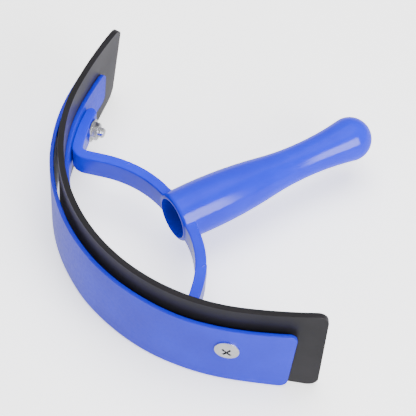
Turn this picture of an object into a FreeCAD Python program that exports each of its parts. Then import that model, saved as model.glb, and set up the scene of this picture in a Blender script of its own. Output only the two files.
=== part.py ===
import FreeCAD, Part
import math
import os
import Sketcher
from FreeCAD import Placement, Rotation, Vector

# Sweat scraper for horses: a moulded handle whose bow carries a curved sandwich of a rubber
# blade between two plastic strips, held by two bolts.
# Local plan frame of every flat piece: X across, Y from the blade towards the handle's knob,
# the crown of the rubber blade's outer face at Y = 0. The part stands on the rubber's edge.

doc = FreeCAD.newDocument("sweat_scraper")
spec = doc.addObject("Spreadsheet::Sheet", "Spec")

sizes = {
    # where the middle of the part's length lies, measured from the rubber's crown
    "plan_shift": 79.25,
    # height of bolts, bow and handle above the resting edge
    "mid_height": 24.5,
    # rubber blade, outer face: middle arc, then a flatter arc to each end
    "rubber_apex": 0.0,
    "rubber_mid_radius": 102.0,
    "rubber_mid_angle": 52.0,
    "rubber_end_radius": 256.0,
    "rubber_end_angle": 61.5,
    "rubber_thick": 3.0,
    "rubber_low": 0.0,
    "rubber_width": 50.0,
    "rubber_corner": 6.0,
    "rubber_slant": 3.0,
    # how far past a strip its trimming cuts reach
    "cut_over": 4.0,
    "cut_depth": 56.0,
    # outer strip: runs parallel to the rubber and stands off it on a round boss at each bolt
    "outer_apex": -4.0,
    "outer_mid_radius": 106.0,
    "outer_mid_angle": 52.0,
    "outer_end_radius": 260.0,
    "outer_end_angle": 57.9,
    "outer_thick": 2.0,
    "outer_low": 0.8,
    "outer_width": 38.7,
    "outer_corner": 4.5,
    "outer_slant": 3.6,
    "boss_radius": 7.0,
    # inner strip: lies against the rubber
    "inner_apex": 3.06,
    "inner_mid_radius": 98.94,
    "inner_mid_angle": 52.0,
    "inner_end_radius": 252.94,
    "inner_end_angle": 57.7,
    "inner_thick": 2.0,
    "inner_low": 15.5,
    "inner_width": 20.0,
    "inner_corner": 5.0,
    "inner_slant": 1.8,
    # bolt line: measured around the centre of the rubber's middle arc
    "bolt_angle": 48.6,
    "bolt_hole": 5.3,
    "hairline": 0.06,
    # bow: flat middle, round shoulders, straight legs at 45 degrees
    "bow_height": 12.4,
    "bow_thick": 5.5,
    "bow_middle": 52.2,
    "bow_flat": 6.0,
    "bow_shoulder": 55.0,
    "bow_round": 0.8,
    "tab_thick": 5.5,
    "tab_gap": 5.11,
    "tab_end_angle": 52.5,
    "heel_radius": 8.0,
    "crook_radius": 2.5,
    "joint_radius": 1.5,
    # handle, turned about its own axis
    "mouth_at": 48.7,
    "rim_round": 2.0,
    "crest_at": 64.5,
    "crest_radius": 13.0,
    "waist_at": 123.2,
    "waist_radius": 8.75,
    "knob_at": 151.3,
    "knob_radius": 11.2,
    # hollow in the handle: straight mouth, then a taper
    "socket_radius": 10.3,
    "socket_depth": 12.0,
    "core_radius": 4.5,
    "core_depth": 92.0,
    # bolt with a mushroom head and a cross recess
    "head_radius": 5.95,
    "head_rise": 2.7,
    "head_rim": 0.7,
    "shank_radius": 2.5,
    "bolt_length": 21.5,
    "tip_chamfer": 0.6,
    "cross_span": 5.6,
    "cross_width": 1.1,
    "cross_depth": 1.5,
    # washer and thin nut
    "washer_radius": 6.0,
    "washer_thick": 1.0,
    "nut_flats": 8.0,
    "nut_thick": 2.7,
    "nut_bore": 2.56,
}
for row, (alias, value) in enumerate(sizes.items(), start=1):
    spec.set(f"A{row}", alias)
    spec.set(f"B{row}", str(value))
    spec.setAlias(f"B{row}", alias)
doc.recompute()


def size(alias):
    return float(spec.get(alias))


def newBody(name):
    body = doc.addObject("PartDesign::Body", name)
    body.Label = name
    return body


def originItem(body, role):
    for item in body.Origin.OriginFeatures:
        if item.Role == role:
            return item
    raise ValueError(role)


def newSketch(body, name, role="XY_Plane"):
    sketch = body.newObject("Sketcher::SketchObject", name)
    sketch.AttachmentSupport = [(originItem(body, role), "")]
    sketch.MapMode = "FlatFace"
    return sketch


def bind(sketch, expression, *constraint):
    index = sketch.addConstraint(Sketcher.Constraint(*constraint))
    sketch.setExpression(f"Constraints[{index}]", expression)
    return index


def tie(sketch, *constraint):
    return sketch.addConstraint(Sketcher.Constraint(*constraint))


def line(sketch, start, end):
    return sketch.addGeometry(Part.LineSegment(Vector(*start, 0), Vector(*end, 0)), False)


def arc(sketch, centre, radius, first, last):
    # angles in degrees, turning anticlockwise from first to last
    circle = Part.Circle(Vector(*centre, 0), Vector(0, 0, 1), radius)
    curve = Part.ArcOfCircle(circle, math.radians(first), math.radians(last))
    return sketch.addGeometry(curve, False)


def atAngle(centre, radius, degrees):
    turn = math.radians(degrees)
    return (centre[0] + radius * math.cos(turn), centre[1] + radius * math.sin(turn))


def finish(body, feature):
    body.Tip = feature
    doc.recompute()
    return feature


def checkedCut(body, feature, before):
    # a cut that points the wrong way removes nothing, so its volume is compared
    finish(body, feature)
    if not feature.Shape.Volume < before - 1e-3:
        raise ValueError(feature.Name + " removed nothing")
    return feature


# Plan outline of a curved strip: three outer arcs, three inner arcs and two end lines.
def stripOutline(body, key):
    apex = size(key + "_apex")
    midR = size(key + "_mid_radius")
    midA = size(key + "_mid_angle")
    endR = size(key + "_end_radius")
    endA = size(key + "_end_angle")
    thick = size(key + "_thick")
    sketch = newSketch(body, key + "_outline")
    midC = (0, apex + midR)
    reach = math.radians(midA)
    rightC = (-(endR - midR) * math.sin(reach), midC[1] + (endR - midR) * math.cos(reach))
    leftC = (-rightC[0], rightC[1])
    faces = []
    for inset in (0, thick):
        middle = arc(sketch, midC, midR - inset, -90 - midA, -90 + midA)
        right = arc(sketch, rightC, endR - inset, -90 + midA, -90 + endA)
        left = arc(sketch, leftC, endR - inset, -90 - endA, -90 - midA)
        faces.append((middle, right, left))
    (mid, right, left), (midIn, rightIn, leftIn) = faces
    rightEnd = line(sketch, atAngle(rightC, endR, endA - 90), atAngle(rightC, endR - thick, endA - 90))
    leftEnd = line(sketch, atAngle(leftC, endR, -90 - endA), atAngle(leftC, endR - thick, -90 - endA))
    for group in faces:
        tie(sketch, "Tangent", group[0], 2, group[1], 1)
        tie(sketch, "Tangent", group[0], 1, group[2], 2)
    for outside, inside in zip(*faces):
        tie(sketch, "Coincident", inside, 3, outside, 3)
    tie(sketch, "Coincident", rightEnd, 1, right, 2)
    tie(sketch, "Coincident", rightEnd, 2, rightIn, 2)
    tie(sketch, "Coincident", leftEnd, 1, left, 1)
    tie(sketch, "Coincident", leftEnd, 2, leftIn, 1)
    tie(sketch, "PointOnObject", right, 3, rightEnd)
    tie(sketch, "PointOnObject", left, 3, leftEnd)
    tie(sketch, "PointOnObject", mid, 3, -2)
    tie(sketch, "Horizontal", mid, 1, mid, 2)
    tie(sketch, "Horizontal", left, 1, right, 2)
    tie(sketch, "Equal", right, left)
    sheet = "Spec." + key
    chord = f"2 * {sheet}_mid_radius * sin({sheet}_mid_angle * 1 deg)"
    slip = f"2 * ({sheet}_end_radius - {sheet}_mid_radius) * sin({sheet}_mid_angle * 1 deg)"
    span = f"2 * {sheet}_end_radius * sin({sheet}_end_angle * 1 deg) - {slip}"
    bind(sketch, sheet + "_mid_radius", "Radius", mid, midR)
    bind(sketch, sheet + "_end_radius", "Radius", right, endR)
    bind(sketch, f"{sheet}_apex + {sheet}_mid_radius", "DistanceY", -1, 1, mid, 3, midC[1])
    bind(sketch, chord, "DistanceX", mid, 1, mid, 2, 2 * midR * math.sin(reach))
    ends = 2 * (endR * math.sin(math.radians(endA)) + rightC[0])
    bind(sketch, span, "DistanceX", left, 1, right, 2, ends)
    bind(sketch, sheet + "_thick", "Distance", rightEnd, thick)
    doc.recompute()
    return sketch, atAngle(rightC, endR, endA - 90)


# An upright sketch whose own X runs along the blade and whose normal points out of it.
def turnedSketch(body, name, point, height, degrees):
    sketch = newSketch(body, name, "XZ_Plane")
    base = Vector(point[0], height, -point[1])
    sketch.AttachmentOffset = Placement(base, Rotation(Vector(0, 1, 0), degrees))
    return sketch


def onBoltLine(radius):
    hub = (0, size("rubber_apex") + size("rubber_mid_radius"))
    return atAngle(hub, radius, size("bolt_angle") - 90)


def mirrored(body, feature):
    twin = body.newObject("PartDesign::Mirrored", feature.Name + "_twin")
    twin.Originals = [feature]
    twin.MirrorPlane = (originItem(body, "YZ_Plane"), [""])
    return twin


def cutThrough(body, sketch, name):
    before = body.Tip.Shape.Volume
    cut = body.newObject("PartDesign::Pocket", name)
    cut.Profile = sketch
    cut.Midplane = True
    cut.setExpression("Length", "Spec.cut_depth")
    checkedCut(body, cut, before)
    return checkedCut(body, mirrored(body, cut), cut.Shape.Volume)


# Bolt holes: a circle on a plane square to the bolt axis, cut, then mirrored.
def boltHoles(body, height):
    point = onBoltLine(size("rubber_mid_radius") - size("tab_gap"))
    sketch = turnedSketch(body, body.Name + "_bolt_hole", point, height, size("bolt_angle"))
    hole = sketch.addGeometry(Part.Circle(Vector(0, 0, 0), Vector(0, 0, 1), size("bolt_hole") / 2), False)
    tie(sketch, "Coincident", hole, 3, -1, 1)
    bind(sketch, "Spec.bolt_hole", "Diameter", hole, size("bolt_hole"))
    doc.recompute()
    return cutThrough(body, sketch, body.Name + "_bolt_cut")


# Round bosses on the inner face of the outer strip, which the rubber is clamped against.
def addBosses(body, height):
    root = size("rubber_mid_radius") - size("outer_apex") - size("outer_thick") / 2
    sketch = turnedSketch(body, "boss_ring", onBoltLine(root), height, size("bolt_angle"))
    ring = sketch.addGeometry(Part.Circle(Vector(0, 0, 0), Vector(0, 0, 1), size("boss_radius")), False)
    tie(sketch, "Coincident", ring, 3, -1, 1)
    bind(sketch, "Spec.boss_radius", "Radius", ring, size("boss_radius"))
    doc.recompute()
    before = body.Tip.Shape.Volume
    boss = body.newObject("PartDesign::Pad", "boss")
    boss.Profile = sketch
    boss.Reversed = True
    reach = "-Spec.outer_apex - Spec.outer_thick / 2 - Spec.hairline"
    boss.setExpression("Length", reach)
    finish(body, boss)
    twin = finish(body, mirrored(body, boss))
    if not twin.Shape.Volume > before:
        raise ValueError("the bosses added nothing")


# Slanted ends: the lower edge is shorter than the upper one by the slant at each end.
def slantEnds(body, key, endPoint):
    slant = size(key + "_slant")
    width = size(key + "_width")
    sketch = turnedSketch(body, key + "_slant_cut", endPoint, 0, size(key + "_end_angle"))
    over = size("cut_over")
    corners = [(0, width), (-slant, 0), (over, 0), (over, width)]
    sides = [line(sketch, p, q) for p, q in zip(corners, corners[1:] + corners[:1])]
    for first, second in zip(sides, sides[1:] + sides[:1]):
        tie(sketch, "Coincident", first, 2, second, 1)
    tie(sketch, "PointOnObject", sides[0], 1, -2)
    tie(sketch, "PointOnObject", sides[0], 2, -1)
    tie(sketch, "Horizontal", sides[1])
    tie(sketch, "Vertical", sides[2])
    tie(sketch, "Horizontal", sides[3])
    bind(sketch, f"Spec.{key}_width", "DistanceY", sides[0], 2, sides[0], 1, width)
    bind(sketch, f"Spec.{key}_slant", "DistanceX", sides[0], 2, sides[0], 1, slant)
    bind(sketch, "Spec.cut_over", "DistanceX", -1, 1, sides[1], 2, over)
    doc.recompute()
    return cutThrough(body, sketch, key + "_slanted")


def edgesWhere(shape, test):
    return [f"Edge{i}" for i, edge in enumerate(shape.Edges, start=1) if test(edge)]


# A blade strip: the outline raised to its width, corners rounded, two bolt holes.
def makeStrip(name, key):
    body = newBody(name)
    pad = body.newObject("PartDesign::Pad", key + "_pad")
    outline, endPoint = stripOutline(body, key)
    pad.Profile = outline
    pad.setExpression("Length", f"Spec.{key}_width")
    finish(body, pad)
    slanted = slantEnds(body, key, endPoint)

    def crossesEnd(edge):
        level = abs(edge.Vertexes[0].Z - edge.Vertexes[-1].Z) < 1e-4
        return level and edge.Length < 2 * size(key + "_thick")

    corners = body.newObject("PartDesign::Fillet", key + "_corners")
    corners.Base = (slanted, edgesWhere(slanted.Shape, crossesEnd))
    corners.setExpression("Radius", f"Spec.{key}_corner")
    finish(body, corners)
    boltLine = size("mid_height") - size(key + "_low")
    if key == "outer":
        addBosses(body, boltLine)
    boltHoles(body, boltLine)
    body.Placement = Placement(Vector(0, -size("plan_shift"), size(key + "_low")), Rotation())
    return body


outerStrip = makeStrip("outer_strip", "outer")
rubberBlade = makeStrip("rubber_blade", "rubber")
innerStrip = makeStrip("inner_strip", "inner")

# One half of the bow with its tab: drawn from the middle to the tab's round end.
bow = newBody("handle_bow")
centreY = size("rubber_apex") + size("rubber_mid_radius")
tabOuter = size("rubber_mid_radius") - size("tab_gap")
tabInner = tabOuter - size("tab_thick")
flat = size("bow_flat")
middleY = size("bow_middle")
half = size("bow_thick") / 2
shoulderC = (flat, middleY - size("bow_shoulder"))


def legMeets(shoulderR, ringR):
    # where the 45 degree leg line of a shoulder radius crosses a ring around the blade's centre
    onLeg = atAngle(shoulderC, shoulderR, 45)
    step = 1 / math.sqrt(2)
    relX = onLeg[0]
    relY = onLeg[1] - centreY
    slope = step * (relX - relY)
    gap = relX ** 2 + relY ** 2 - ringR ** 2
    travel = -slope + math.sqrt(slope ** 2 - gap)
    return (onLeg[0] + travel * step, onLeg[1] - travel * step)


plan = newSketch(bow, "bow_plan")
topR = size("bow_shoulder") + half
lowR = size("bow_shoulder") - half
tabC = (0, centreY)
crook = legMeets(topR, tabInner)
heel = legMeets(lowR, tabOuter)
crookA = math.degrees(math.atan2(crook[1] - centreY, crook[0]))
heelA = math.degrees(math.atan2(heel[1] - centreY, heel[0]))
tabA = size("tab_end_angle") - 90
topFlat = line(plan, (0, middleY + half), (flat, middleY + half))
topArc = arc(plan, shoulderC, topR, 45, 90)
topLeg = line(plan, atAngle(shoulderC, topR, 45), crook)
tabIn = arc(plan, tabC, tabInner, crookA, tabA)
tabMid = atAngle(tabC, (tabInner + tabOuter) / 2, tabA)
tabTip = arc(plan, tabMid, (tabOuter - tabInner) / 2, tabA, tabA + 180)
tabOut = arc(plan, tabC, tabOuter, heelA, tabA)
lowLeg = line(plan, heel, atAngle(shoulderC, lowR, 45))
lowArc = arc(plan, shoulderC, lowR, 45, 90)
lowFlat = line(plan, (flat, middleY - half), (0, middleY - half))
seam = line(plan, (0, middleY - half), (0, middleY + half))
tie(plan, "Coincident", seam, 2, topFlat, 1)
tie(plan, "Tangent", topFlat, 2, topArc, 2)
tie(plan, "Tangent", topArc, 1, topLeg, 1)
tie(plan, "Coincident", topLeg, 2, tabIn, 1)
tie(plan, "Tangent", tabIn, 2, tabTip, 2)
tie(plan, "Tangent", tabOut, 2, tabTip, 1)
tie(plan, "Coincident", tabOut, 1, lowLeg, 1)
tie(plan, "Tangent", lowLeg, 2, lowArc, 1)
tie(plan, "Tangent", lowArc, 2, lowFlat, 1)
tie(plan, "Coincident", lowFlat, 2, seam, 1)
tie(plan, "PointOnObject", seam, 1, -2)
tie(plan, "PointOnObject", seam, 2, -2)
tie(plan, "Horizontal", topFlat)
tie(plan, "Horizontal", lowFlat)
tie(plan, "Coincident", topArc, 3, lowArc, 3)
tie(plan, "Parallel", topLeg, lowLeg)
tie(plan, "PointOnObject", tabIn, 3, -2)
tie(plan, "Coincident", tabIn, 3, tabOut, 3)
bind(plan, "Spec.bow_middle - Spec.bow_thick / 2", "DistanceY", -1, 1, seam, 1, middleY - half)
bind(plan, "Spec.bow_thick", "DistanceY", seam, 1, seam, 2, 2 * half)
bind(plan, "Spec.bow_flat", "DistanceX", topFlat, 1, topFlat, 2, flat)
bind(plan, "Spec.bow_shoulder + Spec.bow_thick / 2", "Radius", topArc, topR)
bind(plan, "Spec.rubber_apex + Spec.rubber_mid_radius", "DistanceY", -1, 1, tabIn, 3, centreY)
bind(plan, "Spec.rubber_mid_radius - Spec.tab_gap", "Radius", tabOut, tabOuter)
bind(plan, "Spec.rubber_mid_radius - Spec.tab_gap - Spec.tab_thick", "Radius", tabIn, tabInner)
tie(plan, "Angle", topLeg, math.radians(-45))
tipX = "(Spec.rubber_mid_radius - Spec.tab_gap) * sin(Spec.tab_end_angle * 1 deg)"
tipAt = tabOuter * math.sin(math.radians(size("tab_end_angle")))
bind(plan, tipX, "DistanceX", -1, 1, tabOut, 2, tipAt)
doc.recompute()

bowPad = bow.newObject("PartDesign::Pad", "bow_pad")
bowPad.Profile = plan
bowPad.Midplane = True
bowPad.setExpression("Length", "Spec.bow_height")
finish(bow, bowPad)


def uprightNear(point):
    def test(edge):
        middle = edge.CenterOfMass
        upright = abs(edge.Length - size("bow_height")) < 1e-3
        return upright and math.hypot(middle.x - point[0], middle.y - point[1]) < 0.5
    return test


def roundEdges(name, base, names, cell):
    rounding = bow.newObject("PartDesign::Fillet", name)
    rounding.Base = (base, names)
    rounding.setExpression("Radius", "Spec." + cell)
    return finish(bow, rounding)


heelRound = roundEdges("bow_heel", bowPad, edgesWhere(bowPad.Shape, uprightNear(heel)), "heel_radius")
crookEdges = edgesWhere(heelRound.Shape, uprightNear(crook))
crookRound = roundEdges("bow_crook", heelRound, crookEdges, "crook_radius")


def onRims(edge):
    level = size("bow_height") / 2
    flatEdge = all(abs(abs(v.Z) - level) < 1e-4 for v in edge.Vertexes)
    return flatEdge and edge.CenterOfMass.x > 1e-3


rimRound = roundEdges("bow_rims", crookRound, edgesWhere(crookRound.Shape, onRims), "bow_round")
bowTwin = bow.newObject("PartDesign::Mirrored", "bow_twin")
bowTwin.TransformMode = "Whole shape"
bowTwin.MirrorPlane = (originItem(bow, "YZ_Plane"), [""])
finish(bow, bowTwin)

# Handle: front rim, swelling socket, waist and knob, all tangent arcs around the Y axis.
mouthY = size("mouth_at")
crestY = size("crest_at")
crestR = size("crest_radius")
waistY = size("waist_at")
waistR = size("waist_radius")
knobY = size("knob_at")
knobR = size("knob_radius")
rim = size("rim_round")
# radii of the two long arcs that make crest, waist and knob run into one another
waistArcR = ((knobY - waistY) ** 2 + waistR ** 2 - knobR ** 2) / (2 * (knobR - waistR))
swell = crestR - waistR
bothArcsR = ((waistY - crestY) ** 2 + swell ** 2) / (2 * swell)
crestArcR = bothArcsR - waistArcR
crestC = (crestR - crestArcR, crestY)
waistC = (waistR + waistArcR, waistY)
knobC = (0, knobY)
# the small rim arc: tangent to the front face and to the crest arc from inside
rimC = (crestC[0] + math.sqrt((crestArcR - rim) ** 2 - (mouthY + rim - crestY) ** 2), mouthY + rim)
rimTurn = math.degrees(math.atan2(rimC[1] - crestC[1], rimC[0] - crestC[0]))
bodyTurn = math.degrees(math.atan2(waistC[1] - crestC[1], waistC[0] - crestC[0]))
neckTurn = math.degrees(math.atan2(knobC[1] - waistC[1], knobC[0] - waistC[0]))

turned = newSketch(bow, "handle_profile")
front = line(turned, (0, mouthY), (rimC[0], mouthY))
lip = arc(turned, rimC, rim, -90, rimTurn)
crest = arc(turned, crestC, crestArcR, rimTurn, bodyTurn)
waist = arc(turned, waistC, waistArcR, neckTurn, bodyTurn + 180)
knob = arc(turned, knobC, knobR, neckTurn - 180, 90)
spine = line(turned, (0, knobY + knobR), (0, mouthY))
tie(turned, "Tangent", front, 2, lip, 1)
tie(turned, "Tangent", lip, 2, crest, 1)
tie(turned, "Tangent", crest, 2, waist, 2)
tie(turned, "Tangent", waist, 1, knob, 1)
tie(turned, "Coincident", knob, 2, spine, 1)
tie(turned, "Coincident", spine, 2, front, 1)
tie(turned, "Horizontal", front)
tie(turned, "PointOnObject", spine, 1, -2)
tie(turned, "PointOnObject", spine, 2, -2)
tie(turned, "PointOnObject", knob, 3, -2)
bind(turned, "Spec.mouth_at", "DistanceY", -1, 1, spine, 2, mouthY)
bind(turned, "Spec.rim_round", "Radius", lip, rim)
bind(turned, "Spec.crest_at", "DistanceY", -1, 1, crest, 3, crestY)
bind(turned, "Spec.waist_at", "DistanceY", -1, 1, waist, 3, waistY)
bind(turned, "Spec.knob_at", "DistanceY", -1, 1, knob, 3, knobY)
bind(turned, "Spec.knob_radius", "Radius", knob, knobR)
curve = "((Spec.knob_at - Spec.waist_at) ^ 2 + Spec.waist_radius ^ 2 - Spec.knob_radius ^ 2)"
waistRule = curve + " / (2 * (Spec.knob_radius - Spec.waist_radius))"
fall = "(Spec.crest_radius - Spec.waist_radius)"
crestRule = f"((Spec.waist_at - Spec.crest_at) ^ 2 + {fall} ^ 2) / (2 * {fall}) - {waistRule}"
bind(turned, waistRule, "Radius", waist, waistArcR)
bind(turned, crestRule, "Radius", crest, crestArcR)
doc.recompute()
handle = bow.newObject("PartDesign::Revolution", "handle_turned")
handle.Profile = turned
handle.ReferenceAxis = (turned, ["V_Axis"])
handle.Angle = 360
before = bowTwin.Shape.Volume
finish(bow, handle)
if not handle.Shape.Volume > before:
    raise ValueError("the handle added nothing")


# Where an arm runs into the turned handle the corner is filleted all round.
def onJoint(edge):
    middle = edge.CenterOfMass
    behindMouth = mouthY + 1 < middle.y < mouthY + 9
    away = math.hypot(middle.x, middle.z)
    return behindMouth and abs(middle.x) > 6 and 6 < away < crestR + 1


joint = roundEdges("bow_joint", handle, edgesWhere(handle.Shape, onJoint), "joint_radius")

# Hollow of the handle, open towards the blade.
socketR = size("socket_radius")
coreR = size("core_radius")
straightY = mouthY + size("socket_depth")
deepY = mouthY + size("core_depth")
core = newSketch(bow, "handle_hollow")
wall = line(core, (socketR, mouthY - 1), (socketR, straightY))
taper = line(core, (socketR, straightY), (coreR, deepY))
floor = line(core, (coreR, deepY), (0, deepY))
middle = line(core, (0, deepY), (0, mouthY - 1))
mouth = line(core, (0, mouthY - 1), (socketR, mouthY - 1))
ring = (wall, taper, floor, middle, mouth)
for first, second in zip(ring, ring[1:] + ring[:1]):
    tie(core, "Coincident", first, 2, second, 1)
tie(core, "Vertical", wall)
tie(core, "Horizontal", floor)
tie(core, "Horizontal", mouth)
tie(core, "PointOnObject", middle, 1, -2)
tie(core, "PointOnObject", middle, 2, -2)
bind(core, "Spec.socket_radius", "DistanceX", mouth, 1, mouth, 2, socketR)
bind(core, "Spec.core_radius", "DistanceX", floor, 2, floor, 1, coreR)
bind(core, "Spec.mouth_at - 1", "DistanceY", -1, 1, mouth, 1, mouthY - 1)
bind(core, "Spec.mouth_at + Spec.socket_depth", "DistanceY", -1, 1, wall, 2, straightY)
bind(core, "Spec.mouth_at + Spec.core_depth", "DistanceY", -1, 1, floor, 2, deepY)
doc.recompute()
hollow = bow.newObject("PartDesign::Groove", "handle_core")
hollow.Profile = core
hollow.ReferenceAxis = (core, ["V_Axis"])
hollow.Angle = 360
checkedCut(bow, hollow, joint.Shape.Volume)
boltHoles(bow, 0.0)
bow.Placement = Placement(Vector(0, -size("plan_shift"), size("mid_height")), Rotation())


# Fasteners stand along the bolt axis: local +Z runs from the bolt's head towards its tip.
def onBoltAxis(side, radius):
    turn = math.radians(size("bolt_angle"))
    out = Vector(side * math.sin(turn), -math.cos(turn), 0)
    hub = Vector(0, size("rubber_apex") + size("rubber_mid_radius") - size("plan_shift"), size("mid_height"))
    return Placement(hub + out * radius, Rotation(Vector(0, 0, 1), -out))


def makeBolt(name, side, radius):
    body = newBody(name)
    headR = size("head_radius")
    rise = size("head_rise")
    rimZ = -size("head_rim")
    shankR = size("shank_radius")
    length = size("bolt_length")
    tip = size("tip_chamfer")
    domeR = (headR ** 2 + (rise + rimZ) ** 2) / (2 * (rise + rimZ))
    sketch = newSketch(body, name + "_profile", "XZ_Plane")
    domeC = (0, domeR - rise)
    low = math.degrees(math.atan2(rimZ - domeC[1], headR))
    dome = arc(sketch, domeC, domeR, -90, low)
    corners = [(headR, rimZ), (headR, 0), (shankR, 0), (shankR, length - tip)]
    corners += [(shankR - tip, length), (0, length), (0, -rise)]
    sides = [line(sketch, a, b) for a, b in zip(corners, corners[1:])]
    rimSide, under, shank, chamfer, end, axis = sides
    tie(sketch, "Coincident", dome, 2, rimSide, 1)
    for first, second in zip(sides, sides[1:]):
        tie(sketch, "Coincident", first, 2, second, 1)
    tie(sketch, "Coincident", axis, 2, dome, 1)
    tie(sketch, "Vertical", rimSide)
    tie(sketch, "Horizontal", under)
    tie(sketch, "Vertical", shank)
    tie(sketch, "Horizontal", end)
    tie(sketch, "PointOnObject", axis, 1, -2)
    tie(sketch, "PointOnObject", axis, 2, -2)
    tie(sketch, "PointOnObject", dome, 3, -2)
    tie(sketch, "PointOnObject", under, 1, -1)
    bind(sketch, "Spec.head_radius", "DistanceX", -1, 1, rimSide, 2, headR)
    bind(sketch, "Spec.head_rim", "DistanceY", rimSide, 1, rimSide, 2, -rimZ)
    bind(sketch, "Spec.head_rise", "DistanceY", axis, 2, -1, 1, rise)
    bind(sketch, "Spec.shank_radius", "DistanceX", -1, 1, shank, 1, shankR)
    bind(sketch, "Spec.bolt_length", "DistanceY", -1, 1, end, 2, length)
    bind(sketch, "Spec.tip_chamfer", "DistanceX", end, 1, chamfer, 1, tip)
    bind(sketch, "Spec.tip_chamfer", "DistanceY", shank, 2, end, 1, tip)
    doc.recompute()
    turn = body.newObject("PartDesign::Revolution", name + "_turned")
    turn.Profile = sketch
    turn.ReferenceAxis = (sketch, ["V_Axis"])
    turn.Angle = 360
    finish(body, turn)
    recess = newSketch(body, name + "_recess")
    recess.AttachmentOffset = Placement(Vector(0, 0, -rise), Rotation())
    a = size("cross_width") / 2
    b = size("cross_span") / 2
    corners = [(a, b), (-a, b), (-a, a), (-b, a), (-b, -a), (-a, -a), (-a, -b), (a, -b), (a, -a)]
    corners += [(b, -a), (b, a), (a, a)]
    cross = [line(recess, p, q) for p, q in zip(corners, corners[1:] + corners[:1])]
    for first, second in zip(cross, cross[1:] + cross[:1]):
        tie(recess, "Coincident", first, 2, second, 1)
    for side in cross[0::2]:
        tie(recess, "Horizontal", side)
    for side in cross[1::2]:
        tie(recess, "Vertical", side)
    # the four arm ends are equal, and opposite ends mirror each other about the middle
    for side in (cross[3], cross[6], cross[9]):
        tie(recess, "Equal", cross[0], side)
    tie(recess, "Symmetric", cross[0], 1, cross[6], 1, -1, 1)
    tie(recess, "Symmetric", cross[3], 1, cross[9], 1, -1, 1)
    bind(recess, "Spec.cross_width", "DistanceX", cross[0], 2, cross[0], 1, 2 * a)
    bind(recess, "Spec.cross_span", "DistanceY", cross[6], 1, cross[0], 2, 2 * b)
    bind(recess, "Spec.cross_span", "DistanceX", cross[3], 1, cross[9], 1, 2 * b)
    doc.recompute()
    cut = body.newObject("PartDesign::Pocket", name + "_cross")
    cut.Profile = recess
    cut.Reversed = True
    cut.setExpression("Length", "Spec.cross_depth")
    checkedCut(body, cut, turn.Shape.Volume)
    body.Placement = onBoltAxis(side=1 if name.endswith("right") else -1, radius=radius)
    return body


def makeWasher(name, side, radius):
    body = newBody(name)
    sketch = newSketch(body, name + "_rings")
    for cell, factor in (("washer_radius", 1), ("bolt_hole", 0.5)):
        radiusHere = size(cell) * factor
        circle = sketch.addGeometry(Part.Circle(Vector(0, 0, 0), Vector(0, 0, 1), radiusHere), False)
        tie(sketch, "Coincident", circle, 3, -1, 1)
        bind(sketch, f"Spec.{cell} * {factor}", "Radius", circle, radiusHere)
    doc.recompute()
    pad = body.newObject("PartDesign::Pad", name + "_pad")
    pad.Profile = sketch
    pad.setExpression("Length", "Spec.washer_thick")
    finish(body, pad)
    body.Placement = onBoltAxis(side, radius)
    return body


def makeNut(name, side, radius):
    body = newBody(name)
    sketch = newSketch(body, name + "_hexagon")
    reach = size("nut_flats") / math.sqrt(3)
    points = [atAngle((0, 0), reach, 60 * k) for k in range(6)]
    flats = [line(sketch, p, q) for p, q in zip(points, points[1:] + points[:1])]
    ring = sketch.addGeometry(Part.Circle(Vector(0, 0, 0), Vector(0, 0, 1), reach), True)
    for first, second in zip(flats, flats[1:] + flats[:1]):
        tie(sketch, "Coincident", first, 2, second, 1)
        tie(sketch, "PointOnObject", first, 1, ring)
    for other in flats[1:]:
        tie(sketch, "Equal", flats[0], other)
    tie(sketch, "Coincident", ring, 3, -1, 1)
    tie(sketch, "PointOnObject", flats[0], 1, -1)
    bind(sketch, "Spec.nut_flats / sqrt(3)", "Radius", ring, reach)
    bore = sketch.addGeometry(Part.Circle(Vector(0, 0, 0), Vector(0, 0, 1), size("nut_bore")), False)
    tie(sketch, "Coincident", bore, 3, -1, 1)
    bind(sketch, "Spec.nut_bore", "Radius", bore, size("nut_bore"))
    doc.recompute()
    pad = body.newObject("PartDesign::Pad", name + "_pad")
    pad.Profile = sketch
    pad.setExpression("Length", "Spec.nut_thick")
    finish(body, pad)
    # corners turned off at 30 degrees on the outer face
    cut = newSketch(body, name + "_corner_cut", "XZ_Plane")
    start = size("nut_flats") / 2
    drop = (reach + 0.5 - start) * math.tan(math.radians(30))
    top = size("nut_thick")
    triangle = [(start, top), (reach + 0.5, top), (reach + 0.5, top - drop)]
    edges = [line(cut, p, q) for p, q in zip(triangle, triangle[1:] + triangle[:1])]
    for first, second in zip(edges, edges[1:] + edges[:1]):
        tie(cut, "Coincident", first, 2, second, 1)
    tie(cut, "Horizontal", edges[0])
    tie(cut, "Vertical", edges[1])
    bind(cut, "Spec.nut_flats / 2", "DistanceX", -1, 1, edges[0], 1, start)
    bind(cut, "Spec.nut_flats / sqrt(3) + 0.5", "DistanceX", -1, 1, edges[1], 1, reach + 0.5)
    bind(cut, "Spec.nut_thick", "DistanceY", -1, 1, edges[0], 1, top)
    bind(cut, "(Spec.nut_flats / sqrt(3) + 0.5 - Spec.nut_flats / 2) * tan(30 deg)",
         "DistanceY", edges[1], 2, edges[1], 1, drop)
    doc.recompute()
    groove = body.newObject("PartDesign::Groove", name + "_corners")
    groove.Profile = cut
    groove.ReferenceAxis = (cut, ["V_Axis"])
    groove.Angle = 360
    checkedCut(body, groove, pad.Shape.Volume)
    body.Placement = onBoltAxis(side, radius)
    return body


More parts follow.
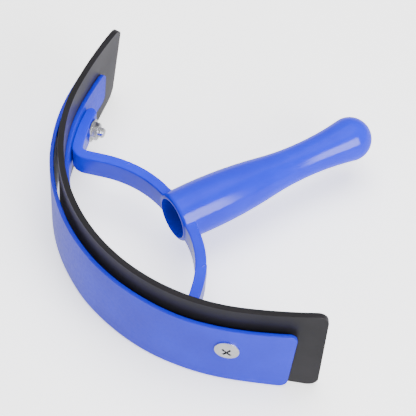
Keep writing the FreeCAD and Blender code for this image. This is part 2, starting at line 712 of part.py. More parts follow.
# Radii around the blade's centre at which the stack of fasteners sits, with hairline clearances.
headAt = size("rubber_mid_radius") - size("outer_apex") + size("hairline")
washerAt = math.sqrt(tabInner ** 2 - size("washer_radius") ** 2) - 0.03
nutAt = washerAt - size("washer_thick") - 0.02
parts = [bow, outerStrip, rubberBlade, innerStrip]
for word, side in (("left", -1), ("right", 1)):
    parts.append(makeBolt("bolt_" + word, side, headAt))
    parts.append(makeWasher("washer_" + word, side, washerAt))
    parts.append(makeNut("nut_" + word, side, nutAt))

doc.recompute()
for item in doc.Objects:
    if "Invalid" in item.State or "Error" in item.State:
        raise ValueError(item.Name + " " + str(item.State))
os.makedirs("parts", exist_ok=True)
for part in parts:
    if part.Shape.isNull() or not part.Shape.isValid() or len(part.Shape.Solids) != 1:
        raise ValueError(part.Label + " is not one valid solid")
    part.Shape.exportStep(f"parts/{part.Label}.step")
    box = part.Shape.BoundBox
    low = (round(box.XMin, 2), round(box.YMin, 2), round(box.ZMin, 2))
    high = (round(box.XMax, 2), round(box.YMax, 2), round(box.ZMax, 2))
    print(part.Label, low, high, round(part.Shape.Volume, 1))
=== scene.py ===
import math
from functools import partial

import bmesh
import bpy
from mathutils import Matrix, Vector
from mathutils.bvhtree import BVHTree


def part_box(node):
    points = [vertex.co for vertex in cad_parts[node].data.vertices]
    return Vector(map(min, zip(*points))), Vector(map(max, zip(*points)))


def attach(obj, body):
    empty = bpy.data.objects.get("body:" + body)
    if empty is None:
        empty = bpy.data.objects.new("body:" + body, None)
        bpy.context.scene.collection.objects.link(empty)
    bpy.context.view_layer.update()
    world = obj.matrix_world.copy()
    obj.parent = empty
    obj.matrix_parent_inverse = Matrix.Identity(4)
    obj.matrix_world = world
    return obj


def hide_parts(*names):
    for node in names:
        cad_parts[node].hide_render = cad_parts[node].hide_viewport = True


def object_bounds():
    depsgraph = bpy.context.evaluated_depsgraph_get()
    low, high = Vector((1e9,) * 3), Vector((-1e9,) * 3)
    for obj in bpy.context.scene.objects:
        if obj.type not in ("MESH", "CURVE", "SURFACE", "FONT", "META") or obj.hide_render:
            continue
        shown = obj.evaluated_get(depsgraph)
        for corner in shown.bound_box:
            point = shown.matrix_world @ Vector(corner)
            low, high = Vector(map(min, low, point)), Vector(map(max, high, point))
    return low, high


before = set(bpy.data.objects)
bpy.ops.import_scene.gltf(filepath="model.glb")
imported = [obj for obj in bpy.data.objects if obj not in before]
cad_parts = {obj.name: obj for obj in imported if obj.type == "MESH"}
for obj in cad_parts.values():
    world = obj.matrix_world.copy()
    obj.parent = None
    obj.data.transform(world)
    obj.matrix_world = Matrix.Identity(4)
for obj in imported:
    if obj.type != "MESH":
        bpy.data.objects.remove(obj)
cadBox = [list(corner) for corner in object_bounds()]
print("frame loaded:", len(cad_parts), "nodes")

mm = 0.001
# points nearer to each other than this are one point
weld = 2e-6

# plan of the blade: a round middle and a flatter curve to each end, on the rubber's outer face
blade = {
    "midRadius": 102.0 * mm,
    "midAngle": math.radians(52.0),
    "endRadius": 256.0 * mm,
    "boltAngle": math.radians(48.6),
    "steps": 360,
    "spare": 4.0 * mm,
    # no half sheet is longer than this
    "longest": 200.0 * mm,
    "waveLength": 38.0 * mm,
    "waveSeed": 0.37,
}


def hexColour(code):
    # sRGB hex to the linear numbers a shader wants
    parts = [int(code[i : i + 2], 16) / 255 for i in (1, 3, 5)]
    linear = [c / 12.92 if c <= 0.04045 else ((c + 0.055) / 1.055) ** 2.4 for c in parts]
    return (*linear, 1.0)


def addNode(tree, kind, settings=None, values=None, links=None):
    # one node with its settings, its fixed inputs and what is plugged into it
    node = tree.nodes.new(kind)
    for key, value in (settings or {}).items():
        setattr(node, key, value)
    for key, value in (values or {}).items():
        node.inputs[key].default_value = value
    for key, socket in (links or {}).items():
        tree.links.new(socket, node.inputs[key])
    return node


def newObject(name, data):
    obj = bpy.data.objects.new(name, data)
    bpy.context.scene.collection.objects.link(obj)
    return obj


def newCurve(name, points):
    curve = bpy.data.curves.new(name, "CURVE")
    curve.dimensions = "3D"
    spline = curve.splines.new("POLY")
    spline.points.add(len(points) - 1)
    for point, spot in zip(spline.points, points):
        point.co = (*spot, 1.0)
    return curve


def fromWork(name, work):
    # a new object from loose faces, all turned outward
    bmesh.ops.recalc_face_normals(work, faces=work.faces)
    mesh = bpy.data.meshes.new(name)
    work.to_mesh(mesh)
    work.free()
    return newObject(name, mesh)


def toMesh(obj, outward=False):
    # freezes the modifiers into a plain mesh and takes them off
    graph = bpy.context.evaluated_depsgraph_get()
    mesh = bpy.data.meshes.new_from_object(obj.evaluated_get(graph))
    if obj.type == "CURVE":
        name = obj.name
        bpy.data.objects.remove(obj)
        obj = newObject(name, mesh)
    else:
        obj.modifiers.clear()
        obj.data = mesh
    if outward:
        work = bmesh.new()
        work.from_mesh(mesh)
        bmesh.ops.remove_doubles(work, verts=work.verts, dist=weld / 2)
        bmesh.ops.recalc_face_normals(work, faces=work.faces)
        work.to_mesh(mesh)
        work.free()
    return obj


def evenShading(obj, sharpAbove=40):
    # flats stay flat beside their small rounded edges
    mesh = obj.data
    mesh.shade_smooth()
    mesh.set_sharp_from_angle(angle=math.radians(sharpAbove))
    weigh = obj.modifiers.new("even", "WEIGHTED_NORMAL")
    weigh.mode = "FACE_AREA"
    weigh.keep_sharp = True
    return toMesh(obj)


def softenEdges(obj, width, above=30):
    # a two-step bevel on edges that turn by more than this many degrees
    soften = obj.modifiers.new("edge", "BEVEL")
    soften.width = width
    soften.segments = 2
    soften.limit_method = "ANGLE"
    soften.angle_limit = math.radians(above)
    return toMesh(obj)


def coat(obj, material):
    obj.data.materials.clear()
    obj.data.materials.append(material)


def nodeCopy(node, name):
    # a merged copy of a CAD node's loose triangles
    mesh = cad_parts[node].data.copy()
    work = bmesh.new()
    work.from_mesh(mesh)
    bmesh.ops.remove_doubles(work, verts=work.verts, dist=weld)
    work.to_mesh(mesh)
    work.free()
    return newObject(name, mesh)


def setInputs(modifier, values):
    for item in modifier.node_group.interface.items_tree:
        if item.item_type == "SOCKET" and item.in_out == "INPUT" and item.name in values:
            modifier[item.identifier] = values[item.name]


def newGroup(name, inputs):
    tree = bpy.data.node_groups.new(name, "GeometryNodeTree")
    tree.interface.new_socket("Geometry", in_out="INPUT", socket_type="NodeSocketGeometry")
    for label, kind in inputs:
        tree.interface.new_socket(label, in_out="INPUT", socket_type=kind)
    tree.interface.new_socket("Geometry", in_out="OUTPUT", socket_type="NodeSocketGeometry")
    return tree, tree.nodes.new("NodeGroupInput"), tree.nodes.new("NodeGroupOutput")


def endGroup(tree, out, geometry, material):
    real = addNode(tree, "GeometryNodeRealizeInstances", None, None, {"Geometry": geometry})
    coated = addNode(tree, "GeometryNodeSetMaterial", None, None,
                     {"Geometry": real.outputs["Geometry"], "Material": material})
    tree.links.new(coated.outputs["Geometry"], out.inputs["Geometry"])


def calc(tree, operation, *terms):
    # one sum in a node tree: numbers and sockets in order
    node = addNode(tree, "ShaderNodeMath", {"operation": operation})
    for slot, term in zip(node.inputs, terms):
        if isinstance(term, (int, float)):
            slot.default_value = term
        else:
            tree.links.new(term, slot)
    return node.outputs[0]


def startMaterial(name):
    material = bpy.data.materials.new(name)
    material.use_nodes = True
    tree = material.node_tree
    shader = tree.nodes["Principled BSDF"]
    place = addNode(tree, "ShaderNodeTexCoord").outputs["Object"]
    return material, tree, shader, place


def setShader(shader, values):
    for key, value in values.items():
        shader.inputs[key].default_value = value


def noiseAt(tree, place, millimetres, detail=2.0):
    scale = {"Scale": 1.0 / (millimetres * mm), "Detail": detail}
    return addNode(tree, "ShaderNodeTexNoise", None, scale, {"Vector": place}).outputs["Fac"]


def spread(tree, value, low, high, fromLow=0.3, fromHigh=0.7):
    settings = {"From Min": fromLow, "From Max": fromHigh, "To Min": low, "To Max": high}
    return addNode(tree, "ShaderNodeMapRange", None, settings, {"Value": value}).outputs["Result"]


def twoTone(tree, factor, first, second):
    mix = addNode(tree, "ShaderNodeMix", {"data_type": "RGBA"})
    tree.links.new(factor, mix.inputs["Factor"])
    mix.inputs["A"].default_value = hexColour(first)
    mix.inputs["B"].default_value = hexColour(second)
    return mix.outputs["Result"]


def addBump(tree, shader, height, strength, depth):
    values = {"Strength": strength, "Distance": depth}
    bump = addNode(tree, "ShaderNodeBump", None, values, {"Height": height})
    tree.links.new(bump.outputs["Normal"], shader.inputs["Normal"])


# Polypropylene from a polished mould: deep blue, wet-looking gloss with a faint orange peel.
plastic = {"cloudSize": 22.0, "peelSize": 1.6, "peelDetail": 3.0, "peelDepth": 0.02 * mm,
           "smoother": 0.85, "rougher": 1.2, "refraction": 1.49}
handleBlue = {"deep": "#020AC8", "light": "#0414D6", "rough": 0.17, "peel": 0.12, "shine": 0.5}
stripBlue = {"deep": "#020AB4", "light": "#0414C4", "rough": 0.36, "peel": 0.2, "shine": 0.42}


def polypropylene(name, look):
    material, tree, shader, place = startMaterial(name)
    clouds = noiseAt(tree, place, plastic["cloudSize"])
    fine = noiseAt(tree, place, plastic["peelSize"], plastic["peelDetail"])
    colour = twoTone(tree, spread(tree, clouds, 0.0, 1.0), look["deep"], look["light"])
    smooth, coarse = (look["rough"] * plastic[key] for key in ("smoother", "rougher"))
    tree.links.new(colour, shader.inputs["Base Color"])
    tree.links.new(spread(tree, fine, smooth, coarse), shader.inputs["Roughness"])
    addBump(tree, shader, fine, look["peel"], plastic["peelDepth"])
    setShader(shader, {"IOR": plastic["refraction"], "Specular IOR Level": look["shine"]})
    return material


# Moulded natural rubber: near black with a soft greyish bloom and a very fine pebble.
rubberBlack = {"deep": "#121113", "light": "#1A181B", "bloomSize": 30.0, "bloomDetail": 4.0,
               "dull": 0.46, "shiny": 0.36, "grainSize": 0.7, "grain": 0.25,
               "grainDepth": 0.03 * mm, "refraction": 1.52, "shine": 0.4, "sheen": 0.12,
               "sheenRough": 0.4, "sheenTint": "#B8B0C0"}


def naturalRubber(name, look):
    material, tree, shader, place = startMaterial(name)
    bloom = noiseAt(tree, place, look["bloomSize"], look["bloomDetail"])
    grit = noiseAt(tree, place, look["grainSize"])
    colour = twoTone(tree, spread(tree, bloom, 0.0, 1.0), look["deep"], look["light"])
    tree.links.new(colour, shader.inputs["Base Color"])
    tree.links.new(spread(tree, bloom, look["dull"], look["shiny"]), shader.inputs["Roughness"])
    addBump(tree, shader, grit, look["grain"], look["grainDepth"])
    setShader(shader, {"IOR": look["refraction"], "Specular IOR Level": look["shine"],
                       "Sheen Weight": look["sheen"], "Sheen Roughness": look["sheenRough"],
                       "Sheen Tint": hexColour(look["sheenTint"])})
    return material


# Bright zinc on cold-headed steel: mirror-like but rippled, with dull grains in the plating.
zinc = {"rippleSize": 2.4, "ripple": 0.25, "rippleDepth": 0.03 * mm, "rougher": 1.7}
# painted light: the bolt head's copy of the zinc is painted near white, lighter than the nut's
headLitSilver = {"shade": "#F0EFF2", "bright": "#FFFFFF", "rough": 0.22}
nutSilver = {"shade": "#C4C3CA", "bright": "#F2F1F4", "rough": 0.16}
# painted shade: a dark grey copy of the zinc for the inside of the driver recess
recessShadeGrey = {"shade": "#45454B", "bright": "#6E6E75", "rough": 0.45}


def zincPlate(name, look):
    material, tree, shader, place = startMaterial(name)
    ripple = noiseAt(tree, place, zinc["rippleSize"])
    colour = twoTone(tree, spread(tree, ripple, 0.0, 1.0), look["shade"], look["bright"])
    rough = spread(tree, ripple, look["rough"], look["rough"] * zinc["rougher"])
    tree.links.new(colour, shader.inputs["Base Color"])
    tree.links.new(rough, shader.inputs["Roughness"])
    addBump(tree, shader, ripple, zinc["ripple"], zinc["rippleDepth"])
    setShader(shader, {"Metallic": 1.0})
    return material


handlePlastic = polypropylene("polypropyleneMoulded", handleBlue)
stripPlastic = polypropylene("polypropyleneStrip", stripBlue)
bladeRubber = naturalRubber("naturalRubberMoulded", rubberBlack)
headLitZinc = zincPlate("zincPlatedHeadLit", headLitSilver)
nutZinc = zincPlate("zincPlatedNut", nutSilver)
recessShadeZinc = zincPlate("zincPlatedRecessShade", recessShadeGrey)
print("materials ready")

# the bolts' height, and the centre of the blade's round middle
washerLow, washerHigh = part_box("washer_right")
boltHeight = (washerLow[2] + washerHigh[2]) / 2
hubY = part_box("rubber_blade")[0][1] + blade["midRadius"]


# A sheet that follows the blade's plan: its section is swept along the path, then every point is
# placed by rule, so that ends slant, corners round off and the edges stay soft.
def sheetTree():
    labels = ["Half Length", "Height", "Thickness", "Corner", "Slant", "Low", "Edge", "Wave",
              "Dish", "Dish Radius", "Bolt Along", "Bolt Up", "Slide", "Splay", "Splay From",
              "Pull", "Spare"]
    inputs = [(label, "NodeSocketFloat") for label in labels] + [("Material", "NodeSocketMaterial")]
    tree, given, out = newGroup("sheetAlongBlade", inputs)
    (half, height, thick, corner, slant, low, edge, wave, dish, dishRadius, boltAlong, boltUp,
     slide, splay, splayFrom, pull, spare) = (given.outputs[label] for label in labels)
    plus, minus, times, over, larger, root, size, exponent = (
        partial(calc, tree, operation)
        for operation in ("ADD", "SUBTRACT", "MULTIPLY", "DIVIDE", "MAXIMUM", "SQRT", "ABSOLUTE",
                          "EXPONENT"))

    # the section swept along the path, with each point's place on both remembered
    path = addNode(tree, "GeometryNodeCaptureAttribute", {"domain": "POINT"})
    path.capture_items.new("FLOAT", "along")
    tree.links.new(given.outputs["Geometry"], path.inputs["Geometry"])
    tree.links.new(addNode(tree, "GeometryNodeSplineParameter").outputs["Length"], path.inputs[1])
    section = addNode(tree, "GeometryNodeCurvePrimitiveQuadrilateral", None, None,
                      {"Width": thick, "Height": height})
    soft = addNode(tree, "GeometryNodeFilletCurve", {"mode": "POLY"}, {"Count": 4},
                   {"Curve": section.outputs["Curve"], "Radius": edge})
    where = addNode(tree, "GeometryNodeInputPosition").outputs["Position"]
    ring = addNode(tree, "GeometryNodeCaptureAttribute", {"domain": "POINT"})
    ring.capture_items.new("VECTOR", "section")
    tree.links.new(soft.outputs["Curve"], ring.inputs["Geometry"])
    tree.links.new(where, ring.inputs[1])
    swept = addNode(tree, "GeometryNodeCurveToMesh", None, None,
                    {"Curve": path.outputs["Geometry"], "Profile Curve": ring.outputs["Geometry"]})
    inSection = addNode(tree, "ShaderNodeSeparateXYZ", None, None, {"Vector": ring.outputs[1]})

    # the path is a little longer than the sheet, which leaves room to slide it
    pathHalf = plus(half, spare)
    along = times(minus(path.outputs[1], pathHalf), over(half, pathHalf))
    fromEnd = minus(half, size(along))

    # rounded corners: the sheet gets lower within one corner radius of its end
    short = larger(minus(corner, fromEnd), 0.0)
    inside = minus(times(corner, corner), times(short, short))
    trim = minus(corner, root(larger(inside, 0.0)))
    up = over(plus(inSection.outputs["Y"], times(height, 0.5)), height)
    rise = plus(trim, times(up, minus(height, times(trim, 2.0))))

    # slanted ends: shorter towards the lower edge
    lean = minus(1.0, over(rise, height))
    shrunk = times(along, minus(1.0, times(over(slant, half), lean)))
    pathLength = plus(plus(half, minus(shrunk, slide)), spare)

    # soft end edge: the thickness closes over the last fraction of a millimetre
    near = over(larger(minus(edge, fromEnd), 0.0), edge)
    thin = root(larger(minus(1.0, times(near, near)), 0.0))
    depth = plus(times(thick, 0.5), times(inSection.outputs["X"], thin))

    # the long edges spring out a little, slightly less by the bolts, and are never quite true;
    # the section has no points between its edges, so the face between them stays flat
    aside = minus(size(shrunk), boltAlong)
    above = minus(rise, boltUp)
    apart = plus(times(aside, aside), times(above, above))
    held = exponent(times(over(apart, times(dishRadius, dishRadius)), -1.0))
    sprung = minus(times(dish, minus(1.0, held)), pull)
    spot = addNode(tree, "ShaderNodeCombineXYZ", None, {"Z": blade["waveSeed"]},
                   {"X": along, "Y": rise})
    uneven = addNode(tree, "ShaderNodeTexNoise", None,
                     {"Scale": 1.0 / blade["waveLength"], "Detail": 1.0},
                     {"Vector": spot.outputs["Vector"]})
    sway = times(times(wave, minus(uneven.outputs["Fac"], 0.5)), minus(1.0, held))

    # past its support each end twists: the lower edge stands out from the upper one
    share = over(larger(minus(size(along), splayFrom), 0.0), minus(half, splayFrom))
    twist = times(times(splay, lean), times(share, share))
    depth = minus(depth, plus(plus(sprung, sway), twist))

    # each point goes to its place beside the path
    sample = addNode(tree, "GeometryNodeSampleCurve", {"mode": "LENGTH", "use_all_curves": True},
                     None, {"Curves": given.outputs["Geometry"], "Length": pathLength})
    inward = addNode(tree, "ShaderNodeVectorMath", {"operation": "CROSS_PRODUCT"}, {0: (0, 0, 1)},
                     {1: sample.outputs["Tangent"]})
    step = addNode(tree, "ShaderNodeVectorMath", {"operation": "SCALE"}, None,
                   {0: inward.outputs["Vector"], "Scale": depth})
    level = addNode(tree, "ShaderNodeCombineXYZ", None, None, {"Z": plus(rise, low)})
    onPath = addNode(tree, "ShaderNodeVectorMath", {"operation": "ADD"}, None,
                     {0: sample.outputs["Position"], 1: step.outputs["Vector"]})
    final = addNode(tree, "ShaderNodeVectorMath", {"operation": "ADD"}, None,
                    {0: onPath.outputs["Vector"], 1: level.outputs["Vector"]})
    moved = addNode(tree, "GeometryNodeSetPosition", None, None,
                    {"Geometry": swept.outputs["Mesh"], "Position": final.outputs["Vector"]})
    closed = addNode(tree, "GeometryNodeMergeByDistance", None, {"Distance": weld},
                     {"Geometry": moved.outputs["Geometry"]})
    endGroup(tree, out, closed.outputs["Geometry"], given.outputs["Material"])
    return tree


def planPoint(offset, length):
    # a point of the plan curve that runs offset outside the rubber's outer face
    middle = blade["midRadius"] + offset
    side = 1 if length >= 0 else -1
    turn = min(abs(length) / middle, blade["midAngle"])
    rest = abs(length) - turn * middle
    x = middle * math.sin(turn)
    y = hubY - middle * math.cos(turn)
    if rest > 0:
        outer = blade["endRadius"] + offset
        far = blade["midAngle"] + rest / outer
        x += outer * (math.sin(far) - math.sin(blade["midAngle"]))
        y -= outer * (math.cos(far) - math.cos(blade["midAngle"]))
    return (side * x, y, 0.0)


def planPath(name, offset, half):
    # points crowd towards both ends, where the corners need them
    steps = blade["steps"]
    lengths = [half * math.sin((i / steps - 0.5) * math.pi) for i in range(steps + 1)]
    return newObject(name, newCurve(name, [planPoint(offset, length) for length in lengths]))


def halfLength(offset, reach):
    # how far along its own path a sheet ends whose end stands at x = reach
    low, high = 0.0, blade["longest"]
    for _ in range(40):
        middle = (low + high) / 2
        if planPoint(offset, middle)[0] < reach:
            low = middle
        else:
            high = middle
    return low


def makeSheet(name, node, look, material, tree):
    low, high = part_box(node)
    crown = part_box("rubber_blade")[0][1] - low[1]
    half = halfLength(crown, high[0])
    boltAlong = (blade["midRadius"] + crown) * blade["boltAngle"]
    piece = planPath(name, crown, half + blade["spare"])
    bend = piece.modifiers.new("sheet", "NODES")
    bend.node_group = tree
    setInputs(bend, {
        "Half Length": half, "Height": high[2] - low[2], "Thickness": look["thick"],
        "Corner": look["corner"], "Slant": look["slant"], "Low": low[2], "Edge": look["edge"],
        "Wave": look["wave"], "Dish": look["dish"], "Dish Radius": look["dishRadius"],
        "Bolt Along": boltAlong, "Bolt Up": boltHeight - low[2], "Slide": look["slide"],
        "Splay": look["splay"], "Splay From": look["splayFrom"] * half, "Pull": look["pull"],
        "Spare": blade["spare"], "Material": material,
    })
    piece = toMesh(piece, outward=True)
    piece = evenShading(piece)
    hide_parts(node)
    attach(piece, "root")


outerStrip = {"thick": 2.0 * mm, "corner": 4.5 * mm, "slant": 3.6 * mm, "edge": 0.35 * mm,
              "wave": 1.0 * mm, "dish": 0.6 * mm, "dishRadius": 12.0 * mm, "pull": 0.35 * mm,
              "slide": 0.0, "splay": 1.3 * mm, "splayFrom": 0.72}
rubber = {"thick": 3.0 * mm, "corner": 6.0 * mm, "slant": 3.0 * mm, "edge": 0.3 * mm,
          "wave": 0.3 * mm, "dish": 0.0, "dishRadius": 13.0 * mm, "pull": 0.0,
          "slide": 2.2 * mm, "splay": 4.0 * mm, "splayFrom": 0.7}
innerStrip = {"thick": 2.0 * mm, "corner": 5.0 * mm, "slant": 1.8 * mm, "edge": 0.35 * mm,
              "wave": 0.1 * mm, "dish": 0.0, "dishRadius": 13.0 * mm, "pull": 0.0,
              "slide": 0.0, "splay": 0.0, "splayFrom": 0.7}

alongBlade = sheetTree()
makeSheet("outerStripSheet", "outer_strip", outerStrip, stripPlastic, alongBlade)
makeSheet("rubberSheet", "rubber_blade", rubber, bladeRubber, alongBlade)
makeSheet("innerStripSheet", "inner_strip", innerStrip, stripPlastic, alongBlade)
print("blade sheets bent")


def boltFrame(side, radius):
    # local Z points out of the blade, local X along it
    turn = blade["boltAngle"]
    out = Vector((side * math.sin(turn), -math.cos(turn), 0))
    up = Vector((0, 0, 1))
    across = up.cross(out)
    turned = Matrix((across, up, out)).transposed().to_4x4()
    return Matrix.Translation(Vector((0, hubY, boltHeight)) + out * radius) @ turned


# round bosses between strip and rubber
boss = {"radius": 7.0 * mm, "inner": 102.1 * mm, "outer": 104.3 * mm, "hole": 2.7 * mm,
        "edge": 0.2 * mm, "sides": 48}


def makeBoss(name, side):
    # a flat ring: two circles round the hole and two round the rim
    work = bmesh.new()
    sides = boss["sides"]
    rings = []
    for radius in (boss["hole"], boss["radius"]):
        for height in (boss["inner"], boss["outer"]):
            circle = bmesh.ops.create_circle(work, segments=sides, radius=radius)["verts"]
            bmesh.ops.transform(work, matrix=boltFrame(side, height), verts=circle)
            rings.append(circle)
    order = [rings[0], rings[1], rings[3], rings[2]]
    for first, second in zip(order, order[1:] + order[:1]):
        for k in range(sides):
            after = (k + 1) % sides
            work.faces.new((first[k], first[after], second[after], second[k]))
    piece = fromWork(name, work)
    coat(piece, stripPlastic)
    piece = evenShading(softenEdges(piece, boss["edge"]))
    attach(piece, "root")


makeBoss("stripBossLeft", -1)
makeBoss("stripBossRight", 1)

handleLook = {"sharpAbove": 35}
handle = nodeCopy("handle_bow", "handleAndBow")
coat(handle, handlePlastic)
handle = evenShading(handle, handleLook["sharpAbove"])
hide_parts("handle_bow")
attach(handle, "root")

# what the mould left behind: a witness line over each arm and a spur of flash at the socket
witness = {"x": 36.0 * mm, "radius": 0.4 * mm, "tip": 0.3, "sink": 0.14 * mm, "onTop": 3.2 * mm,
           "topSteps": 8, "turn": 0.6 * mm, "down": 11.0 * mm, "downSteps": 12}
flash = {"angle": math.radians(238), "fromHub": 50.5 * mm, "reach": 1.7 * mm, "root": 1.3 * mm,
         "sink": 0.3 * mm, "lean": 0.8 * mm, "thick": 0.35 * mm, "edge": 0.08 * mm}
# the handle's skin is looked for from these distances
outside = 80.0 * mm
pastRim = 30.0 * mm
skin = BVHTree.FromObject(handle, bpy.context.evaluated_depsgraph_get())


def onSkin(origin, direction):
    spot, normal, _, _ = skin.ray_cast(Vector(origin), Vector(direction))
    return spot - normal * witness["sink"]


def addPlasticBit(piece):
    coat(piece, handlePlastic)
    piece = evenShading(piece)
    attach(piece, "root")


def makeWitness(name, side):
    # along the arm's top to its handle-side edge, then down that face
    x = side * witness["x"]
    face = skin.ray_cast(Vector((x, outside, boltHeight)), Vector((0, -1, 0)))[0]
    steps = witness["topSteps"]
    back = [face.y - witness["onTop"] * (1 - i / steps) for i in range(steps)]
    points = [onSkin((x, y, outside), (0, 0, -1)) for y in back]
    top = points[-1].z - witness["turn"]
    steps = witness["downSteps"]
    heights = [top - witness["down"] * i / steps for i in range(steps + 1)]
    points += [onSkin((x, outside, z), (0, -1, 0)) for z in heights]
    curve = newCurve(name, points)
    curve.bevel_depth = witness["radius"]
    curve.bevel_resolution = 3
    curve.use_fill_caps = True
    for end in (0, -1):
        curve.splines[0].points[end].radius = witness["tip"]
    addPlasticBit(toMesh(newObject(name, curve), outward=True))


def makeFlash(name):
    # a thin three-sided sliver that stands off the rim
    centre = Vector((0, 0, boltHeight))
    out = Vector((math.cos(flash["angle"]), 0, math.sin(flash["angle"])))
    side = Vector((-out.z, 0, out.x))
    mouth = Vector((0, hubY - flash["fromHub"], 0))
    start = skin.ray_cast(centre + out * pastRim + mouth, -out)[0]
    corners = [start - side * flash["root"] - out * flash["sink"],
               start + side * flash["root"] - out * flash["sink"],
               start + out * flash["reach"] - side * flash["lean"]]
    depth = Vector((0, flash["thick"], 0))
    work = bmesh.new()
    front = [work.verts.new(corner) for corner in corners]
    rear = [work.verts.new(corner + depth) for corner in corners]
    work.faces.new(front)
    work.faces.new(list(reversed(rear)))
    for i in range(3):
        k = (i + 1) % 3
        work.faces.new((front[k], front[i], rear[i], rear[k]))
    addPlasticBit(softenEdges(fromWork(name, work), flash["edge"]))


makeWitness("witnessLineLeft", -1)
makeWitness("witnessLineRight", 1)
makeFlash("socketFlash")
print("handle ready")

fastener = {"sharpAbove": 28, "edge": 0.12 * mm, "rim": 0.7 * mm, "headUnder": 106.0 * mm,
            "flatten": 0.5}
# painted shade: the walls and floor of a driver recess take a darker grey copy of the zinc
recess = {"reach": 2.95 * mm, "below": 0.28 * mm, "deep": 1.15 * mm}


def boltAxis(side):
    # the blade's centre at bolt height, and the way out of the blade along the bolt
    axis = boltFrame(side, 0.0)
    return axis.translation, axis.to_3x3().col[2]


def reachOf(points, side):
    # nearest and farthest of some points from the blade's centre, along the bolt
    hub, out = boltAxis(side)
    reach = [(point - hub).dot(out) for point in points]
    return min(reach), max(reach)


def innerReach(node, side):
    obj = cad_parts[node]
    return reachOf([obj.matrix_world @ vertex.co for vertex in obj.data.vertices], side)[0]


def flattenHead(piece, side):
    # the dome is low: only what stands above the rim is pressed down
    hub, out = boltAxis(side)
    rim = fastener["headUnder"] + fastener["rim"]
    for vertex in piece.data.vertices:
        over = (vertex.co - hub).dot(out) - rim
        if over > 0:
            vertex.co -= out * over * fastener["flatten"]


def makeFastener(node, name, material, headSide=0):
    # headSide is given only for a bolt, which has a head to press down
    piece = nodeCopy(node, name)
    if headSide:
        flattenHead(piece, headSide)
    coat(piece, material)
    piece = evenShading(softenEdges(piece, fastener["edge"]), fastener["sharpAbove"])
    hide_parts(node)
    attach(piece, "root")
    return piece


def paintRecessShade(piece, side):
    # painted shade: the faces inside the driver recess get the dark zinc
    hub, out = boltAxis(side)
    top = reachOf([vertex.co for vertex in piece.data.vertices], side)[1]
    piece.data.materials.append(recessShadeZinc)
    for face in piece.data.polygons:
        along = (face.center - hub).dot(out)
        aside = (face.center - hub - out * along).length
        if aside < recess["reach"] and top - recess["deep"] < along < top - recess["below"]:
            face.material_index = 1


for word, side in (("left", -1), ("right", 1)):
    bolt = makeFastener("bolt_" + word, "bolt" + word.title(), headLitZinc, side)
    paintRecessShade(bolt, side)
    makeFastener("washer_" + word, "washer" + word.title(), nutZinc)
    makeFastener("nut_" + word, "nut" + word.title(), nutZinc)


# A rolled thread: a V ridge follows a helix round the end of the shank.
thread = {"pitch": 0.8 * mm, "ridge": 0.24 * mm, "sink": 0.12 * mm, "radius": 2.5 * mm,
          "tip": 0.7 * mm, "stepsPerTurn": 40}


def threadTree():
    labels = ["Radius", "Pitch", "Ridge", "Length"]
    inputs = [(label, "NodeSocketFloat") for label in labels]
    inputs += [("Start", "NodeSocketVector"), ("Turn", "NodeSocketVector"),
               ("Material", "NodeSocketMaterial")]
    tree, given, out = newGroup("rolledThread", inputs)
    radius, pitch, ridge, length = (given.outputs[label] for label in labels)
    turns = calc(tree, "DIVIDE", length, pitch)
    helix = addNode(tree, "GeometryNodeCurveSpiral", None, {"Resolution": thread["stepsPerTurn"]},
                    {"Rotations": turns, "Start Radius": radius, "End Radius": radius,
                     "Height": length})
    vee = addNode(tree, "GeometryNodeCurvePrimitiveCircle", None, {"Resolution": 4},
                  {"Radius": ridge})
    swept = addNode(tree, "GeometryNodeCurveToMesh", None, {"Fill Caps": True},
                    {"Curve": helix.outputs["Curve"], "Profile Curve": vee.outputs["Curve"]})
    stood = addNode(tree, "GeometryNodeTransform", None, None,
                    {"Geometry": swept.outputs["Mesh"], "Translation": given.outputs["Start"],
                     "Rotation": given.outputs["Turn"]})
    endGroup(tree, out, stood.outputs["Geometry"], given.outputs["Material"])
    return tree


def makeThread(name, word, side, tree):
    tip = innerReach("bolt_" + word, side) + thread["tip"]
    nut = innerReach("nut_" + word, side)
    start = boltFrame(side, tip)
    piece = newObject(name, bpy.data.meshes.new(name))
    wind = piece.modifiers.new("thread", "NODES")
    wind.node_group = tree
    setInputs(wind, {
        "Radius": thread["radius"] - thread["sink"], "Pitch": thread["pitch"],
        "Ridge": thread["ridge"], "Length": nut - tip + thread["pitch"],
        "Start": start.translation, "Turn": Vector(start.to_euler()), "Material": nutZinc,
    })
    piece = evenShading(toMesh(piece, outward=True), fastener["sharpAbove"])
    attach(piece, "root")


rolled = threadTree()
makeThread("threadLeft", "left", -1, rolled)
makeThread("threadRight", "right", 1, rolled)
print("fasteners ready")

floorLook = {"shade": "#FAFAFA", "light": "#FDFDFD", "size": 3.0, "gap": 0.2 * mm,
             "cloudSize": 400.0, "rough": 0.9, "glow": 1.1}
# shiny parts see a bright table below the horizon and a dimmer room above it
sky = {"colour": "#F6F7FA", "below": 1.15, "above": 0.55, "horizon": 0.12}
# only the mirrored light shows in shiny parts
lights = {
    "overhead": {"at": (-0.15, 0.2, 1.1), "aim": (0, 0.02, 0.02), "size": (1.0, 1.0),
                 "watts": 26.0, "mirrored": False},
    "side": {"at": (0.8, 0.13, 0.44), "aim": (0, 0.03, 0.02), "size": (0.55, 0.64),
             "watts": 12.0, "mirrored": True},
    "fill": {"at": (0.4, -0.9, 0.36), "aim": (0, -0.03, 0.02), "size": (0.7, 0.4),
             "watts": 1.2, "mirrored": False},
}
camera = {"target": (0.0, -0.0103, 0.020), "distance": 1.0729, "azimuth": 57.35,
          "elevation": 51.67, "roll": 2.52, "lens": 189.2, "clipEnd": 20.0}


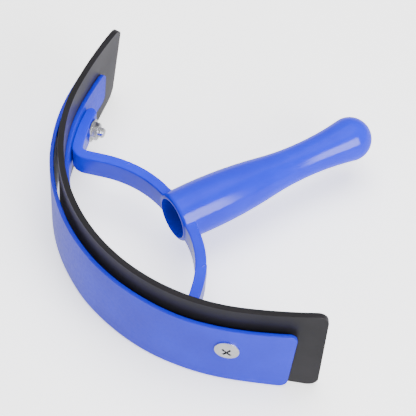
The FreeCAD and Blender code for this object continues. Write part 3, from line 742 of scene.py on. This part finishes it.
def makeFloor():
    mesh = bpy.data.meshes.new("floor")
    s = floorLook["size"]
    z = cadBox[0][2] - floorLook["gap"]
    mesh.from_pydata([(-s, -s, z), (s, -s, z), (s, s, z), (-s, s, z)], [], [(0, 1, 2, 3)])
    material, tree, shader, place = startMaterial("paintedBoard")
    cloud = noiseAt(tree, place, floorLook["cloudSize"])
    colour = twoTone(tree, cloud, floorLook["shade"], floorLook["light"])
    tree.links.new(colour, shader.inputs["Base Color"])
    setShader(shader, {"Roughness": floorLook["rough"], "Emission Strength": floorLook["glow"],
                       "Emission Color": hexColour(floorLook["light"])})
    mesh.materials.append(material)
    floor = newObject("floor", mesh)
    floor.visible_glossy = False


def softLight(name, look):
    data = bpy.data.lights.new(name, "AREA")
    data.shape = "RECTANGLE"
    data.size, data.size_y = look["size"]
    data.energy = look["watts"]
    lamp = newObject(name, data)
    lamp.location = look["at"]
    lamp.visible_glossy = look["mirrored"]
    aim = Vector(look["aim"]) - Vector(look["at"])
    lamp.rotation_euler = aim.to_track_quat("-Z", "Y").to_euler()


def makeWorld():
    world = bpy.data.worlds.new("studio")
    bpy.context.scene.world = world
    world.use_nodes = True
    tree = world.node_tree
    back = tree.nodes["Background"]
    back.inputs["Color"].default_value = hexColour(sky["colour"])
    direction = addNode(tree, "ShaderNodeTexCoord").outputs["Generated"]
    height = addNode(tree, "ShaderNodeSeparateXYZ", None, None, {"Vector": direction}).outputs["Z"]
    strength = spread(tree, height, sky["below"], sky["above"], -sky["horizon"], sky["horizon"])
    tree.links.new(strength, back.inputs["Strength"])


def makeCamera():
    az, el, roll = (math.radians(camera[key]) for key in ("azimuth", "elevation", "roll"))
    back = Vector((math.sin(az) * math.cos(el), -math.cos(az) * math.cos(el), math.sin(el)))
    right = Vector((math.cos(az), math.sin(az), 0))
    up = back.cross(right)
    across = math.cos(roll) * right + math.sin(roll) * up
    above = -math.sin(roll) * right + math.cos(roll) * up
    turned = Matrix((across, above, back)).transposed().to_4x4()
    data = bpy.data.cameras.new("camera")
    data.lens = camera["lens"]
    data.clip_end = camera["clipEnd"]
    eye = newObject("camera", data)
    place = Vector(camera["target"]) + back * camera["distance"]
    eye.matrix_world = Matrix.Translation(place) @ turned
    bpy.context.scene.camera = eye


makeFloor()
makeWorld()
for name, look in lights.items():
    softLight(name, look)
makeCamera()
print("stage set")
